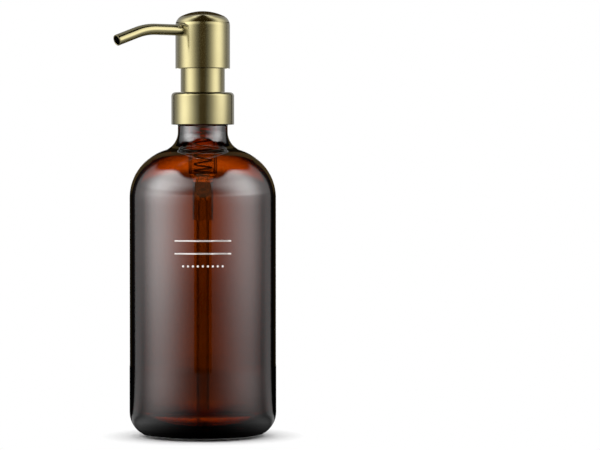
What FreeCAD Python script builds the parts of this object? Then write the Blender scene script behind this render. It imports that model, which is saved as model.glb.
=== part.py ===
import FreeCAD, Part
import math
import os
from types import SimpleNamespace

import Sketcher

# Pump oil bottle: a round-shouldered glass bottle closed by a screw-on metal lotion pump.
# Lengths are in millimetres. The origin is the centre of the base, on the plane that the bottle
# stands on. +Z runs up the bottle's axis, and the spout points along -X.

# Driving sizes. Everything else is worked out from them.
SIZES = {
    # Glass bottle
    "body_diameter": 75.0,
    "glass_wall": 2.4,
    "shoulder_wall": 1.8,
    "base_thickness": 5.5,
    "push_up": 2.4,
    "bearing_ring_width": 1.8,
    "heel_radius": 12.3,
    "shoulder_height": 122.0,
    "shoulder_radius": 25.8,
    "neck_fillet": 9.5,
    "neck_diameter": 25.6,
    "neck_length": 3.36,
    "neck_bore": 18.0,
    "finish_diameter": 24.9,
    "finish_length": 11.0,
    "finish_step": 0.4,
    "rim_round": 0.8,
    # Screw closure and its metal cover
    "thread_height": 1.2,
    "thread_clearance": 0.3,
    "skirt_wall": 1.4,
    "shell_wall": 0.7,
    "collar_edge_round": 2.0,
    "collar_foot_round": 0.3,
    "collar_gap": 0.3,
    "skirt_recess": 0.5,
    "closure_plate": 1.7,
    "closure_head": 2.25,
    "closure_play": 0.2,
    "sleeve_diameter": 22.7,
    "sleeve_wall": 0.6,
    "sleeve_edge_round": 0.25,
    "riser_wall": 1.2,
    "riser_setback": 0.8,
    # Pump barrel, its seal and its guide
    "gasket_thickness": 1.4,
    "flange_thickness": 1.5,
    "flange_margin": 0.15,
    "barrel_bore": 12.0,
    "barrel_wall": 1.3,
    "barrel_taper_above": 2.5,
    "barrel_taper_below": 1.5,
    "chamber_bore": 7.6,
    "chamber_wall": 1.45,
    "housing_length": 60.9,
    "seat_land": 1.7,
    "inlet_bore": 3.0,
    "vent_diameter": 1.2,
    "vent_depth": 6.2,
    "chaplet_flange": 1.3,
    "chaplet_plug": 6.3,
    "guide_height": 2.9,
    "guide_wall": 1.0,
    "wiper_section": 1.2,
    "wiper_height": 2.0,
    "wiper_lip": 0.7,
    # Dip tube
    "dip_tube_diameter": 6.5,
    "dip_tube_wall": 1.0,
    "dip_socket_depth": 10.0,
    "dip_floor_gap": 3.0,
    # Inlet valve
    "inlet_ball_diameter": 5.0,
    "inlet_ball_lift": 1.5,
    "retainer_flange": 1.5,
    "cage_length": 4.549,
    "cage_wall": 1.4,
    "cage_slot": 2.2,
    # Stem, piston and spring
    "stroke": 10.5,
    "stroke_clearance": 1.55,
    "stem_diameter": 6.0,
    "stem_wall": 1.3,
    "stem_socket": 7.5,
    "stem_throat": 2.4,
    "throat_length": 1.2,
    "stem_shoulder": 1.2,
    "stem_shoulder_width": 1.5,
    "piston_rest_gap": 0.3,
    "piston_length": 5.2,
    "piston_hub_wall": 1.5,
    "lip_height": 1.6,
    "lip_land": 0.5,
    "lip_thickness": 0.4,
    "lip_groove": 0.5,
    "bush_flange": 1.2,
    "bush_length": 4.0,
    "bush_wall": 0.6,
    "spring_wire": 0.9,
    "spring_clearance": 1.2,
    "spring_end_gap": 0.45,
    # Head, its core and the spout
    "sleeve_overlap": 2.8,
    "head_diameter": 27.9,
    "head_wall": 0.8,
    "head_lip_round": 0.35,
    "dome_rise": 10.0,
    "dome_radius": 25.0,
    "dome_edge_round": 5.5,
    "core_rib": 1.3,
    "core_pocket_depth": 6.5,
    "core_top_drop": 4.8,
    "core_chamfer": 1.2,
    "core_chamfer_drop": 2.5,
    "boss_wall": 2.0,
    "outlet_ball_diameter": 4.0,
    "outlet_ball_lift": 1.2,
    "outlet_ball_room": 0.6,
    "outlet_channel": 3.2,
    "outlet_channel_offset": 1.4,
    "spout_floor": 1.6,
    "spout_diameter": 5.7,
    "spout_wall": 0.5,
    "spout_seat": 4.5,
    "spout_reach": 53.0,
    "spout_bend_radius": 35.0,
    "spout_tip_length": 12.6,
    "o_ring_section": 1.0,
    "o_ring_depth": 4.0,
    # Clearances
    "snug": 0.02,
    "running": 0.04,
    "turning": 0.1,
    "loose": 0.35,
    "ball_gap": 0.1,
}

# Angles, in degrees
ANGLES = {
    "spout_droop_angle": 19.2,
}

# Counts
SPRING_ACTIVE_TURNS = 6
SPRING_END_TURNS = 1
ARCS_PER_TURN = 4
CAGE_LEGS = 3
CORE_POCKETS = 5
CORE_POCKET_ARC = 240.0

doc = FreeCAD.newDocument("pump_oil_bottle")
sheet = doc.addObject("Spreadsheet::Sheet", "Sizes")
for row, (name, number) in enumerate({**SIZES, **ANGLES}.items(), start=1):
    sheet.set(f"A{row}", name)
    sheet.set(f"B{row}", str(number))
    sheet.setAlias(f"B{row}", name)
doc.recompute()


class Size:
    """A length held both as a number and as the expression on the sheet that gives it."""

    def __init__(self, value, text):
        self.value = float(value)
        self.text = text

    def __add__(self, other):
        other = as_size(other)
        return Size(self.value + other.value, f"({self.text} + {other.text})")

    def __sub__(self, other):
        other = as_size(other)
        return Size(self.value - other.value, f"({self.text} - {other.text})")

    def __mul__(self, other):
        other = as_size(other)
        return Size(self.value * other.value, f"({self.text} * {other.text})")

    def __truediv__(self, other):
        other = as_size(other)
        return Size(self.value / other.value, f"({self.text} / {other.text})")

    def __neg__(self):
        return Size(-self.value, f"(0 - {self.text})")


def as_size(number):
    """Lets a plain number stand in a formula beside sizes."""
    if isinstance(number, Size):
        return number
    return Size(number, str(number))


def root(size):
    return Size(math.sqrt(size.value), f"sqrt({size.text})")


def sine(degrees):
    return Size(math.sin(math.radians(degrees.value)), f"sin({degrees.text} * 1 deg)")


def cosine(degrees):
    return Size(math.cos(math.radians(degrees.value)), f"cos({degrees.text} * 1 deg)")


ZERO = Size(0, "0")
s = SimpleNamespace(**{
    name: Size(sheet.get(name), f"Sizes.{name}") for name in (*SIZES, *ANGLES)
})


# Drawing and cutting


def new_body(label):
    body = doc.addObject("PartDesign::Body", label)
    body.Label = label
    return body


def new_sketch(body, name, plane, offset=None):
    """A sketch on one of the body's own planes, moved along that plane's normal by offset."""
    sketch = body.newObject("Sketcher::SketchObject", name)
    support = next(o for o in body.Origin.OriginFeatures if o.Role == plane)
    sketch.AttachmentSupport = [(support, "")]
    sketch.MapMode = "FlatFace"
    if offset is not None:
        sketch.setExpression("AttachmentOffset.Base.z", offset.text)
    return sketch


def bind(sketch, constraint, size):
    """Adds a constraint and ties its value to the sheet."""
    index = sketch.addConstraint(constraint)
    if size.text != ZERO.text:
        sketch.setExpression(f"Constraints[{index}]", size.text)


def pin(sketch, geometry, point, x, y):
    """Holds a point of the sketch at a place measured from the sketch's origin."""
    bind(sketch, Sketcher.Constraint("DistanceX", -1, 1, geometry, point, x.value), x)
    bind(sketch, Sketcher.Constraint("DistanceY", -1, 1, geometry, point, y.value), y)


def corner(x, y):
    return SimpleNamespace(x=as_size(x), y=as_size(y), arc=None, rounding=None)


def rounded(x, y, radius):
    """A corner between a level and an upright line, rounded off."""
    return SimpleNamespace(x=as_size(x), y=as_size(y), arc=None, rounding=radius)


def arc_to(x, y, centre_x, centre_y, radius):
    """A point reached from the one before it by an arc of under half a circle."""
    centre = SimpleNamespace(x=as_size(centre_x), y=as_size(centre_y), radius=radius)
    return SimpleNamespace(x=as_size(x), y=as_size(y), arc=centre, rounding=None)


def shifted(point, towards, distance):
    """The point moved by distance along the level or upright line to another point."""
    step_x = towards.x.value - point.x.value
    step_y = towards.y.value - point.y.value
    if abs(step_x) > abs(step_y):
        return point.x + distance * math.copysign(1, step_x), point.y
    return point.x, point.y + distance * math.copysign(1, step_y)


def without_rounding(points):
    """Each rounded corner as the start and the end of its arc."""
    plain = []
    for index, point in enumerate(points):
        if point.rounding is None:
            plain.append(point)
            continue
        after = points[(index + 1) % len(points)]
        first = shifted(point, points[index - 1], point.rounding)
        last = shifted(point, after, point.rounding)
        centre = (first[0] + last[0] - point.x, first[1] + last[1] - point.y)
        plain.append(corner(*first))
        plain.append(arc_to(*last, *centre, point.rounding))
    return plain


def arc_curve(start, end, centre):
    """The shorter arc about a centre from one point to another."""
    middle = FreeCAD.Vector(centre.x.value, centre.y.value, 0)
    along = (start - middle).normalize() + (end - middle).normalize()
    return Part.Arc(start, middle + along.normalize() * centre.radius.value, end)


def draw(sketch, points, closed=True):
    """Draws lines and arcs through the points, each point held by two measured places."""
    points = without_rounding(points)
    places = [FreeCAD.Vector(p.x.value, p.y.value, 0) for p in points]
    edges = []
    steps = range(len(points)) if closed else range(len(points) - 1)
    for index in steps:
        following = points[(index + 1) % len(points)]
        start = places[index]
        end = places[(index + 1) % len(points)]
        if following.arc is None:
            edges.append(sketch.addGeometry(Part.LineSegment(start, end)))
            continue
        curve = arc_curve(start, end, following.arc)
        edges.append(sketch.addGeometry(curve))
    ends = []
    for index, edge in enumerate(edges):
        first = sketch.getPoint(edge, 1)
        ends.append((1, 2) if first.isEqual(places[index], 1e-6) else (2, 1))
    for index, edge in enumerate(edges):
        pin(sketch, edge, ends[index][0], points[index].x, points[index].y)
        last = index == len(edges) - 1
        if not last or closed:
            following = (index + 1) % len(edges)
            join = Sketcher.Constraint("Coincident", edge, ends[index][1],
                                       edges[following], ends[following][0])
            sketch.addConstraint(join)
        else:
            pin(sketch, edge, ends[index][1], points[-1].x, points[-1].y)
        arc = points[(index + 1) % len(points)].arc
        if arc is not None:
            bind(sketch, Sketcher.Constraint("Radius", edge, arc.radius.value), arc.radius)


def draw_circle(sketch, x, y, radius):
    centre = FreeCAD.Vector(x.value, y.value, 0)
    normal = FreeCAD.Vector(0, 0, 1)
    circle = sketch.addGeometry(Part.Circle(centre, normal, radius.value))
    pin(sketch, circle, 3, x, y)
    bind(sketch, Sketcher.Constraint("Radius", circle, radius.value), radius)


def turned(body, name, points, cut=False):
    """Turns an outline of (radius, height) points about the axis, as material or as a hollow."""
    sketch = new_sketch(body, f"{name}_outline", "XZ_Plane")
    draw(sketch, points)
    kind = "PartDesign::Groove" if cut else "PartDesign::Revolution"
    feature = body.newObject(kind, name)
    feature.Profile = sketch
    feature.ReferenceAxis = (sketch, ["V_Axis"])
    feature.Angle = 360
    return feature


def drilled(body, name, plane, offset, x, y, radius, depth=None, towards_normal=False):
    """Cuts a round hole from a plane, to a depth or right through what lies that way."""
    sketch = new_sketch(body, f"{name}_outline", plane, offset)
    draw_circle(sketch, x, y, radius)
    doc.recompute()
    before = body.Shape.Volume
    hole = body.newObject("PartDesign::Pocket", name)
    hole.Profile = sketch
    hole.Reversed = towards_normal
    if depth is None:
        hole.Type = "ThroughAll"
    else:
        hole.Type = "Length"
        hole.setExpression("Length", depth.text)
    doc.recompute()
    if hole.Shape.Volume >= before:
        raise RuntimeError(f"{name} cuts nothing")
    return hole


def repeated(body, name, feature, count, degrees):
    """Repeats a cut about the bottle's axis."""
    axis = next(o for o in body.Origin.OriginFeatures if o.Role == "Z_Axis")
    pattern = body.newObject("PartDesign::PolarPattern", name)
    pattern.Originals = [feature]
    pattern.Axis = (axis, [""])
    pattern.Angle = degrees
    pattern.Occurrences = count
    body.Tip = pattern
    return pattern


# Heights, from the base up

shoulder_centre_r = s.body_diameter / 2 - s.shoulder_radius
neck_r = s.neck_diameter / 2
neck_fillet_centre_r = neck_r + s.neck_fillet
fillet_reach = s.shoulder_radius + s.neck_fillet
fillet_step = neck_fillet_centre_r - shoulder_centre_r
neck_z = s.shoulder_height + root(fillet_reach * fillet_reach - fillet_step * fillet_step)
finish_z = neck_z + s.neck_length
rim_z = finish_z + s.finish_length

flange_z = rim_z + s.gasket_thickness
plate_z = flange_z + s.flange_thickness
plate_top = plate_z + s.closure_plate
chaplet_z = plate_top + s.closure_play
chaplet_top = chaplet_z + s.chaplet_flange
closure_top = plate_z + s.closure_head
collar_top = closure_top + s.shell_wall
collar_foot = finish_z + s.collar_gap

lip_z = collar_top + s.stroke + s.stroke_clearance
sleeve_top = lip_z + s.sleeve_overlap
core_z = sleeve_top + s.stroke + s.stroke_clearance
spout_r = s.spout_diameter / 2
spout_z = core_z + s.spout_floor + spout_r
head_top = spout_z + s.dome_rise

inlet_ball_r = s.inlet_ball_diameter / 2
outlet_ball_r = s.outlet_ball_diameter / 2
throat_r = s.stem_throat / 2
stem_r = s.stem_diameter / 2
valve_top = spout_z - spout_r
# A ball on a 45 degree seat stands with its centre root 2 radii above the cone's point.
SEAT_RISE = math.sqrt(2)
outlet_rise = outlet_ball_r * SEAT_RISE - throat_r + s.ball_gap
valve_r = outlet_ball_r + s.outlet_ball_room
seat_depth = valve_r - s.loose / 2 - throat_r
stem_top = valve_top - outlet_ball_r - s.outlet_ball_lift - s.loose - outlet_rise + seat_depth
boss_z = stem_top - s.stem_socket

plug_z = chaplet_z - s.chaplet_plug
stem_shoulder_top = plug_z - s.piston_rest_gap
piston_top = stem_shoulder_top - s.stem_shoulder
piston_z = piston_top - s.piston_length
spring_top = piston_z - s.bush_flange

# The inlet valve is stacked up from the housing's foot, and the barrel's floor stands on it.
housing_foot = flange_z - s.housing_length
socket_top = housing_foot + s.dip_socket_depth
seat_z = socket_top + s.seat_land
inlet_r = s.inlet_bore / 2
chamber_r = s.chamber_bore / 2
cage_r = chamber_r - s.snug
cage_mouth_r = cage_r - s.cage_wall
inlet_ball_z = seat_z - inlet_r + inlet_ball_r * SEAT_RISE + s.ball_gap
stop_rise = root(inlet_ball_r * inlet_ball_r - cage_mouth_r * cage_mouth_r)
cage_z = inlet_ball_z + s.inlet_ball_lift + stop_rise + s.loose
ledge_z = cage_z + s.cage_length
spring_foot = ledge_z + s.retainer_flange

# Radii that several pieces share

finish_r = s.finish_diameter / 2
thread_bore_r = finish_r + s.thread_height + s.thread_clearance
skirt_r = thread_bore_r + s.skirt_wall
collar_r = skirt_r + s.shell_wall
sleeve_r = s.sleeve_diameter / 2
riser_r = sleeve_r - s.sleeve_wall
riser_bore_r = riser_r - s.riser_wall
barrel_bore_r = s.barrel_bore / 2
barrel_r = barrel_bore_r + s.barrel_wall
flange_r = finish_r - s.flange_margin
stem_bore_r = stem_r - s.stem_wall
guide_bore_r = stem_r + s.running
wiper_r = stem_r + s.wiper_section
head_r = s.head_diameter / 2
head_bore_r = head_r - s.head_wall
boss_r = stem_r + s.boss_wall


# Glass bottle


def shoulder_run(body_r, shoulder, bore_r, fillet):
    """The run from the upright side to the neck: the round shoulder and the neck's root."""
    centre_r = body_r - shoulder
    reach = shoulder + fillet
    step = bore_r + fillet - centre_r
    rise = root(reach * reach - step * step)
    share = shoulder / reach
    return [
        arc_to(centre_r + step * share, s.shoulder_height + rise * share,
               centre_r, s.shoulder_height, shoulder),
        arc_to(bore_r, s.shoulder_height + rise, bore_r + fillet, s.shoulder_height + rise, fillet),
    ]


def make_bottle():
    bottle = new_body("bottle")
    body_r = s.body_diameter / 2
    hollow_r = body_r - s.heel_radius - s.bearing_ring_width
    hollow_radius = (hollow_r * hollow_r + s.push_up * s.push_up) / (s.push_up * 2)
    turned(bottle, "outer_form", [
        corner(ZERO, s.push_up),
        arc_to(hollow_r, ZERO, ZERO, s.push_up - hollow_radius, hollow_radius),
        corner(body_r - s.heel_radius, ZERO),
        arc_to(body_r, s.heel_radius, body_r - s.heel_radius, s.heel_radius, s.heel_radius),
        corner(body_r, s.shoulder_height),
        *shoulder_run(body_r, s.shoulder_radius, neck_r, s.neck_fillet),
        corner(neck_r, finish_z),
        corner(finish_r, finish_z + s.finish_step),
        rounded(finish_r, rim_z, s.rim_round),
        corner(ZERO, rim_z),
    ])
    inner_r = body_r - s.glass_wall
    inner_heel = s.heel_radius - s.glass_wall
    inner_shoulder = s.shoulder_radius - s.shoulder_wall
    bore_r = s.neck_bore / 2
    turned(bottle, "hollow", [
        corner(ZERO, s.base_thickness),
        corner(inner_r - inner_heel, s.base_thickness),
        arc_to(inner_r, s.base_thickness + inner_heel,
               inner_r - inner_heel, s.base_thickness + inner_heel, inner_heel),
        corner(inner_r, s.shoulder_height),
        *shoulder_run(inner_r, inner_shoulder, bore_r, s.neck_fillet + s.glass_wall),
        corner(bore_r, rim_z - s.rim_round),
        arc_to(bore_r + s.rim_round, rim_z, bore_r + s.rim_round, rim_z - s.rim_round, s.rim_round),
        corner(ZERO, rim_z),
    ], cut=True)
    return bottle


# Screw closure: threaded insert, metal cover and riser sleeve


def make_closure_insert():
    insert = new_body("closure_insert")
    hole_r = barrel_r + s.turning
    turned(insert, "moulding", [
        corner(hole_r, plate_z),
        corner(thread_bore_r, plate_z),
        corner(thread_bore_r, collar_foot + s.skirt_recess),
        corner(skirt_r - s.snug, collar_foot + s.skirt_recess),
        rounded(skirt_r - s.snug, closure_top, s.collar_edge_round - s.shell_wall),
        corner(riser_r - s.snug, closure_top),
        corner(riser_r - s.snug, sleeve_top - s.riser_setback),
        corner(riser_bore_r, sleeve_top - s.riser_setback),
        corner(riser_bore_r, plate_top),
        corner(hole_r, plate_top),
    ])
    return insert


def make_collar_shell():
    shell = new_body("collar_shell")
    hole_r = sleeve_r + s.snug
    turned(shell, "spun_cover", [
        corner(hole_r, closure_top),
        rounded(skirt_r, closure_top, s.collar_edge_round - s.shell_wall),
        corner(skirt_r, collar_foot),
        rounded(collar_r, collar_foot, s.collar_foot_round),
        rounded(collar_r, collar_top, s.collar_edge_round),
        corner(hole_r, collar_top),
    ])
    return shell


def make_riser_sleeve():
    sleeve = new_body("riser_sleeve")
    turned(sleeve, "tube", [
        corner(riser_r, closure_top),
        corner(sleeve_r, closure_top),
        rounded(sleeve_r, sleeve_top, s.sleeve_edge_round),
        rounded(riser_r, sleeve_top, s.sleeve_edge_round),
    ])
    return sleeve


# Pump barrel with its seal, its cap and the dip tube


def make_neck_gasket():
    gasket = new_body("neck_gasket")
    hole_r = barrel_r + s.turning
    turned(gasket, "washer", [
        corner(hole_r, rim_z),
        corner(flange_r, rim_z),
        corner(flange_r, flange_z),
        corner(hole_r, flange_z),
    ])
    return gasket


def make_pump_housing():
    housing = new_body("pump_housing")
    chamber_outer_r = chamber_r + s.chamber_wall
    dip_r = s.dip_tube_diameter / 2 + s.snug
    turned(housing, "barrel", [
        corner(barrel_bore_r, chaplet_z),
        corner(barrel_bore_r, ledge_z),
        corner(chamber_r, ledge_z),
        corner(chamber_r, seat_z + chamber_r - inlet_r),
        corner(inlet_r, seat_z),
        corner(inlet_r, socket_top),
        corner(dip_r, socket_top),
        corner(dip_r, housing_foot),
        corner(chamber_outer_r, housing_foot),
        corner(chamber_outer_r, ledge_z - s.barrel_taper_below),
        corner(barrel_r, ledge_z + s.barrel_taper_above),
        corner(barrel_r, flange_z),
        corner(flange_r, flange_z),
        corner(flange_r, plate_z),
        corner(barrel_r, plate_z),
        corner(barrel_r, chaplet_z),
    ])
    drilled(housing, "vent", "XZ_Plane", None, ZERO, flange_z - s.vent_depth, s.vent_diameter / 2)
    return housing


def make_chaplet():
    chaplet = new_body("chaplet")
    guide_top = chaplet_top + s.guide_height
    wiper_pocket_r = wiper_r + s.snug
    turned(chaplet, "cap", [
        corner(guide_bore_r, plug_z),
        corner(barrel_bore_r - s.snug, plug_z),
        corner(barrel_bore_r - s.snug, chaplet_z),
        corner(riser_bore_r - s.loose, chaplet_z),
        corner(riser_bore_r - s.loose, chaplet_top),
        corner(wiper_pocket_r + s.guide_wall, chaplet_top),
        corner(wiper_pocket_r + s.guide_wall, guide_top),
        corner(wiper_pocket_r, guide_top),
        corner(wiper_pocket_r, guide_top - s.wiper_height),
        corner(guide_bore_r, guide_top - s.wiper_height),
    ])
    return chaplet


def make_stem_wiper():
    wiper = new_body("stem_wiper")
    top_z = chaplet_top + s.guide_height
    foot_z = top_z - s.wiper_height
    lip_r = guide_bore_r + s.lip_thickness
    turned(wiper, "lip_ring", [
        corner(lip_r, foot_z),
        corner(wiper_r, foot_z),
        corner(wiper_r, top_z),
        corner(lip_r, top_z - s.wiper_lip),
        corner(guide_bore_r, top_z),
        corner(guide_bore_r, top_z - s.wiper_lip),
    ])
    return wiper


def make_dip_tube():
    tube = new_body("dip_tube")
    outer_r = s.dip_tube_diameter / 2
    foot_z = s.base_thickness + s.dip_floor_gap
    turned(tube, "tube", [
        corner(outer_r - s.dip_tube_wall, foot_z),
        corner(outer_r, foot_z),
        corner(outer_r, socket_top),
        corner(outer_r - s.dip_tube_wall, socket_top),
    ])
    # The lower end is cut at 45 degrees so that it can't seal against the glass.
    sketch = new_sketch(tube, "slant_outline", "XZ_Plane")
    draw(sketch, [
        corner(-outer_r, foot_z),
        corner(outer_r + s.loose, foot_z - s.loose),
        corner(outer_r + s.loose, foot_z + outer_r * 2 + s.loose),
    ])
    doc.recompute()
    before = tube.Shape.Volume
    slant = tube.newObject("PartDesign::Pocket", "slant")
    slant.Profile = sketch
    slant.SideType = "Symmetric"
    slant.Type = "ThroughAll"
    doc.recompute()
    if slant.Shape.Volume >= before:
        raise RuntimeError("slant cuts nothing")
    return tube


# Inlet valve


def make_ball(label, radius, height):
    ball = doc.addObject("Part::Sphere", label)
    ball.Label = label
    ball.setExpression("Radius", radius.text)
    ball.setExpression("Placement.Base.z", height.text)
    return ball


def make_ball_retainer():
    retainer = new_body("ball_retainer")
    turned(retainer, "seat_and_cage", [
        corner(cage_mouth_r, cage_z),
        corner(cage_r, cage_z),
        corner(cage_r, ledge_z),
        corner(barrel_bore_r - s.snug, ledge_z),
        corner(barrel_bore_r - s.snug, spring_foot),
        corner(cage_mouth_r, spring_foot),
    ])
    sketch = new_sketch(retainer, "slot_outline", "XY_Plane", ledge_z)
    half = s.cage_slot / 2
    draw(sketch, [
        corner(ZERO, -half),
        corner(chamber_r, -half),
        corner(chamber_r, half),
        corner(ZERO, half),
    ])
    doc.recompute()
    slot = retainer.newObject("PartDesign::Pocket", "slot")
    slot.Profile = sketch
    slot.Type = "ThroughAll"
    doc.recompute()
    repeated(retainer, "slots", slot, CAGE_LEGS, 360)
    return retainer


# Stem, piston and return spring


def make_stem():
    stem = new_body("stem")
    shoulder_r = stem_r + s.stem_shoulder_width
    throat_z = stem_top - seat_depth - s.throat_length
    turned(stem, "rod", [
        corner(stem_bore_r, piston_z),
        corner(stem_r, piston_z),
        corner(stem_r, piston_top),
        corner(shoulder_r, piston_top),
        corner(shoulder_r, stem_shoulder_top),
        corner(stem_r, stem_shoulder_top),
        corner(stem_r, stem_top),
        corner(throat_r + seat_depth, stem_top),
        corner(throat_r, stem_top - seat_depth),
        corner(throat_r, throat_z),
        corner(stem_bore_r, throat_z),
    ])
    return stem


def make_piston():
    piston = new_body("piston")
    bore_r = stem_r + s.running
    hub_r = bore_r + s.piston_hub_wall
    lip_r = barrel_bore_r - s.running
    waist_r = hub_r + s.lip_groove
    turned(piston, "seal", [
        corner(bore_r, piston_z),
        corner(hub_r, piston_z),
        corner(hub_r, piston_z + s.lip_height - s.lip_land),
        corner(lip_r - s.lip_thickness, piston_z),
        corner(lip_r, piston_z),
        corner(lip_r, piston_z + s.lip_land),
        corner(waist_r, piston_z + s.lip_height),
        corner(waist_r, piston_top - s.lip_height),
        corner(lip_r, piston_top - s.lip_land),
        corner(lip_r, piston_top),
        corner(lip_r - s.lip_thickness, piston_top),
        corner(hub_r, piston_top - s.lip_height + s.lip_land),
        corner(hub_r, piston_top),
        corner(bore_r, piston_top),
    ])
    return piston


def make_piston_retainer():
    bush = new_body("piston_retainer")
    spigot_r = stem_bore_r - s.snug
    bore_r = spigot_r - s.bush_wall
    flange_edge_r = barrel_bore_r - s.spring_clearance
    turned(bush, "flanged_bush", [
        corner(bore_r, spring_top),
        corner(flange_edge_r, spring_top),
        corner(flange_edge_r, piston_z),
        corner(spigot_r, piston_z),
        corner(spigot_r, piston_z + s.bush_length),
        corner(bore_r, piston_z + s.bush_length),
    ])
    return bush


def biarc(start, start_way, end, end_way):
    """Two arcs that leave one point and reach another in the given directions."""
    gap = end - start
    ways = start_way + end_way
    spread = 2 * (1 - start_way.dot(end_way))
    lean = gap.dot(ways)
    reach = (math.sqrt(lean * lean + spread * gap.dot(gap)) - lean) / spread
    first_hand = start + start_way * reach
    second_hand = end - end_way * reach
    middle = (first_hand + second_hand) * 0.5
    arcs = []
    for a, hand, b in ((start, first_hand, middle), (middle, second_hand, end)):
        chord_middle = (a + b) * 0.5
        bow = hand - chord_middle
        half_chord = (b - a).Length / 2
        sag = half_chord * half_chord / (hand - a).Length
        depth = bow.Length * sag / (half_chord + sag) if sag > 0 else 0
        top = chord_middle + bow.normalize() * depth
        arcs.append(Part.Arc(a, top, b).toShape())
    return arcs


def make_return_spring():
    wire_r = s.spring_wire.value / 2
    coil_r = barrel_bore_r.value - s.spring_clearance.value - wire_r
    low = spring_foot.value + wire_r + s.snug.value
    high = spring_top.value - wire_r - s.snug.value
    end_pitch = s.spring_wire.value + s.spring_end_gap.value
    turns = SPRING_ACTIVE_TURNS + 2 * SPRING_END_TURNS
    steps = turns * ARCS_PER_TURN
    # The pitch swells from the close end turns to the open middle and back.
    swell = [math.sin(math.pi * step / steps) ** 2 for step in range(steps + 1)]
    swell_sum = sum((swell[i] + swell[i + 1]) / 2 for i in range(steps)) / ARCS_PER_TURN
    open_pitch = (high - low - end_pitch * turns) / swell_sum
    nodes = []
    height = low
    for step in range(steps + 1):
        pitch = end_pitch + open_pitch * swell[step]
        if step > 0:
            before = end_pitch + open_pitch * swell[step - 1]
            height += (before + pitch) / 2 / ARCS_PER_TURN
        angle = 2 * math.pi * step / ARCS_PER_TURN
        out = FreeCAD.Vector(math.cos(angle), math.sin(angle), 0)
        way = FreeCAD.Vector(-out.y, out.x, pitch / (2 * math.pi * coil_r)).normalize()
        nodes.append((out * coil_r + FreeCAD.Vector(0, 0, height), way))
    edges = []
    for (start, start_way), (end, end_way) in zip(nodes, nodes[1:]):
        edges += biarc(start, start_way, end, end_way)
    path = Part.Wire(edges)
    section = Part.Wire(Part.Circle(nodes[0][0], nodes[0][1], wire_r).toShape())
    solid = path.makePipeShell([section], True, False)
    expected = math.pi * wire_r * wire_r * path.Length
    if abs(solid.Volume / expected - 1) > 0.01:
        raise RuntimeError("return_spring isn't one even tube")
    spring = doc.addObject("Part::Feature", "return_spring")
    spring.Label = "return_spring"
    spring.Shape = solid
    spring.Placement = FreeCAD.Placement()
    print_least_gap(path, wire_r, coil_r)
    return spring


def print_least_gap(path, wire_r, coil_r):
    """Measures how near the coil's turns come to each other, on points along the wire."""
    spacing = wire_r
    points = path.discretize(Distance=spacing)
    apart = int(math.pi * coil_r / spacing)
    least = min(
        (points[i] - points[j]).Length
        for i in range(len(points))
        for j in range(i + apart, len(points))
    )
    print(f"return_spring least gap to itself {least - 2 * wire_r:.2f} mm")


# Head: moulded core, metal shell, spout and its seal


def make_head_core():
    core = new_body("head_core")
    core_r = head_bore_r - s.snug
    top_z = head_top - s.core_top_drop
    socket_r = stem_r + s.snug
    turned(core, "plug", [
        corner(socket_r, boss_z),
        corner(boss_r, boss_z),
        corner(boss_r, core_z),
        corner(core_r, core_z),
        corner(core_r, top_z - s.core_chamfer_drop),
        corner(core_r - s.core_chamfer, top_z),
        corner(ZERO, top_z),
        corner(ZERO, valve_top),
        corner(valve_r, valve_top),
        corner(valve_r, stem_top),
        corner(socket_r, stem_top),
    ])
    seat_x = -s.spout_seat
    channel_r = s.outlet_channel / 2
    groove_x = -(s.spout_seat + s.o_ring_depth)
    groove_r = spout_r + s.o_ring_section + s.snug
    offset_x = -s.outlet_channel_offset
    drilled(core, "spout_socket", "YZ_Plane", seat_x, ZERO, spout_z, spout_r + s.snug)
    drilled(core, "spout_channel", "YZ_Plane", ZERO, ZERO, spout_z, channel_r, s.spout_seat)
    drilled(core, "o_ring_groove", "YZ_Plane", groove_x, ZERO, spout_z, groove_r,
            s.o_ring_section + s.snug * 2)
    drilled(core, "rising_channel", "XY_Plane", valve_top, offset_x, ZERO, channel_r,
            spout_z - valve_top, towards_normal=True)
    # Round pockets keep the moulding's walls even. The side under the spout stays solid.
    pocket_r = (core_r - boss_r) / 2 - s.core_rib
    pitch_r = (core_r + boss_r) / 2
    first = math.radians(-CORE_POCKET_ARC / 2)
    pocket = drilled(core, "pocket", "XY_Plane", core_z, pitch_r * math.cos(first),
                     pitch_r * math.sin(first), pocket_r, s.core_pocket_depth, towards_normal=True)
    repeated(core, "pockets", pocket, CORE_POCKETS, CORE_POCKET_ARC)
    return core


def dome(radius, edge_round, side_r, top_z, inward):
    """The run over the head: up the side, round its edge and along the shallow cap to the axis."""
    cap_z = head_top - s.dome_radius
    edge_centre_r = head_r - s.dome_edge_round
    reach = s.dome_radius - s.dome_edge_round
    edge_z = cap_z + root(reach * reach - edge_centre_r * edge_centre_r)
    share = radius / reach
    knee_r = edge_centre_r * share
    knee_z = cap_z + (edge_z - cap_z) * share
    if inward:
        return [
            corner(side_r, edge_z),
            arc_to(knee_r, knee_z, edge_centre_r, edge_z, edge_round),
            arc_to(ZERO, top_z, ZERO, cap_z, radius),
        ]
    return [
        corner(ZERO, top_z),
        arc_to(knee_r, knee_z, ZERO, cap_z, radius),
        arc_to(side_r, edge_z, edge_centre_r, edge_z, edge_round),
    ]


def make_head_shell():
    shell = new_body("head_shell")
    inner_dome = s.dome_radius - s.head_wall
    inner_edge = s.dome_edge_round - s.head_wall
    turned(shell, "spun_head", [
        rounded(head_bore_r, lip_z, s.head_lip_round),
        rounded(head_r, lip_z, s.head_lip_round),
        *dome(s.dome_radius, s.dome_edge_round, head_r, head_top, inward=True),
        *dome(inner_dome, inner_edge, head_bore_r, head_top - s.head_wall, inward=False),
    ])
    drilled(shell, "spout_hole", "YZ_Plane", ZERO, ZERO, spout_z, spout_r + s.snug)
    return shell


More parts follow.
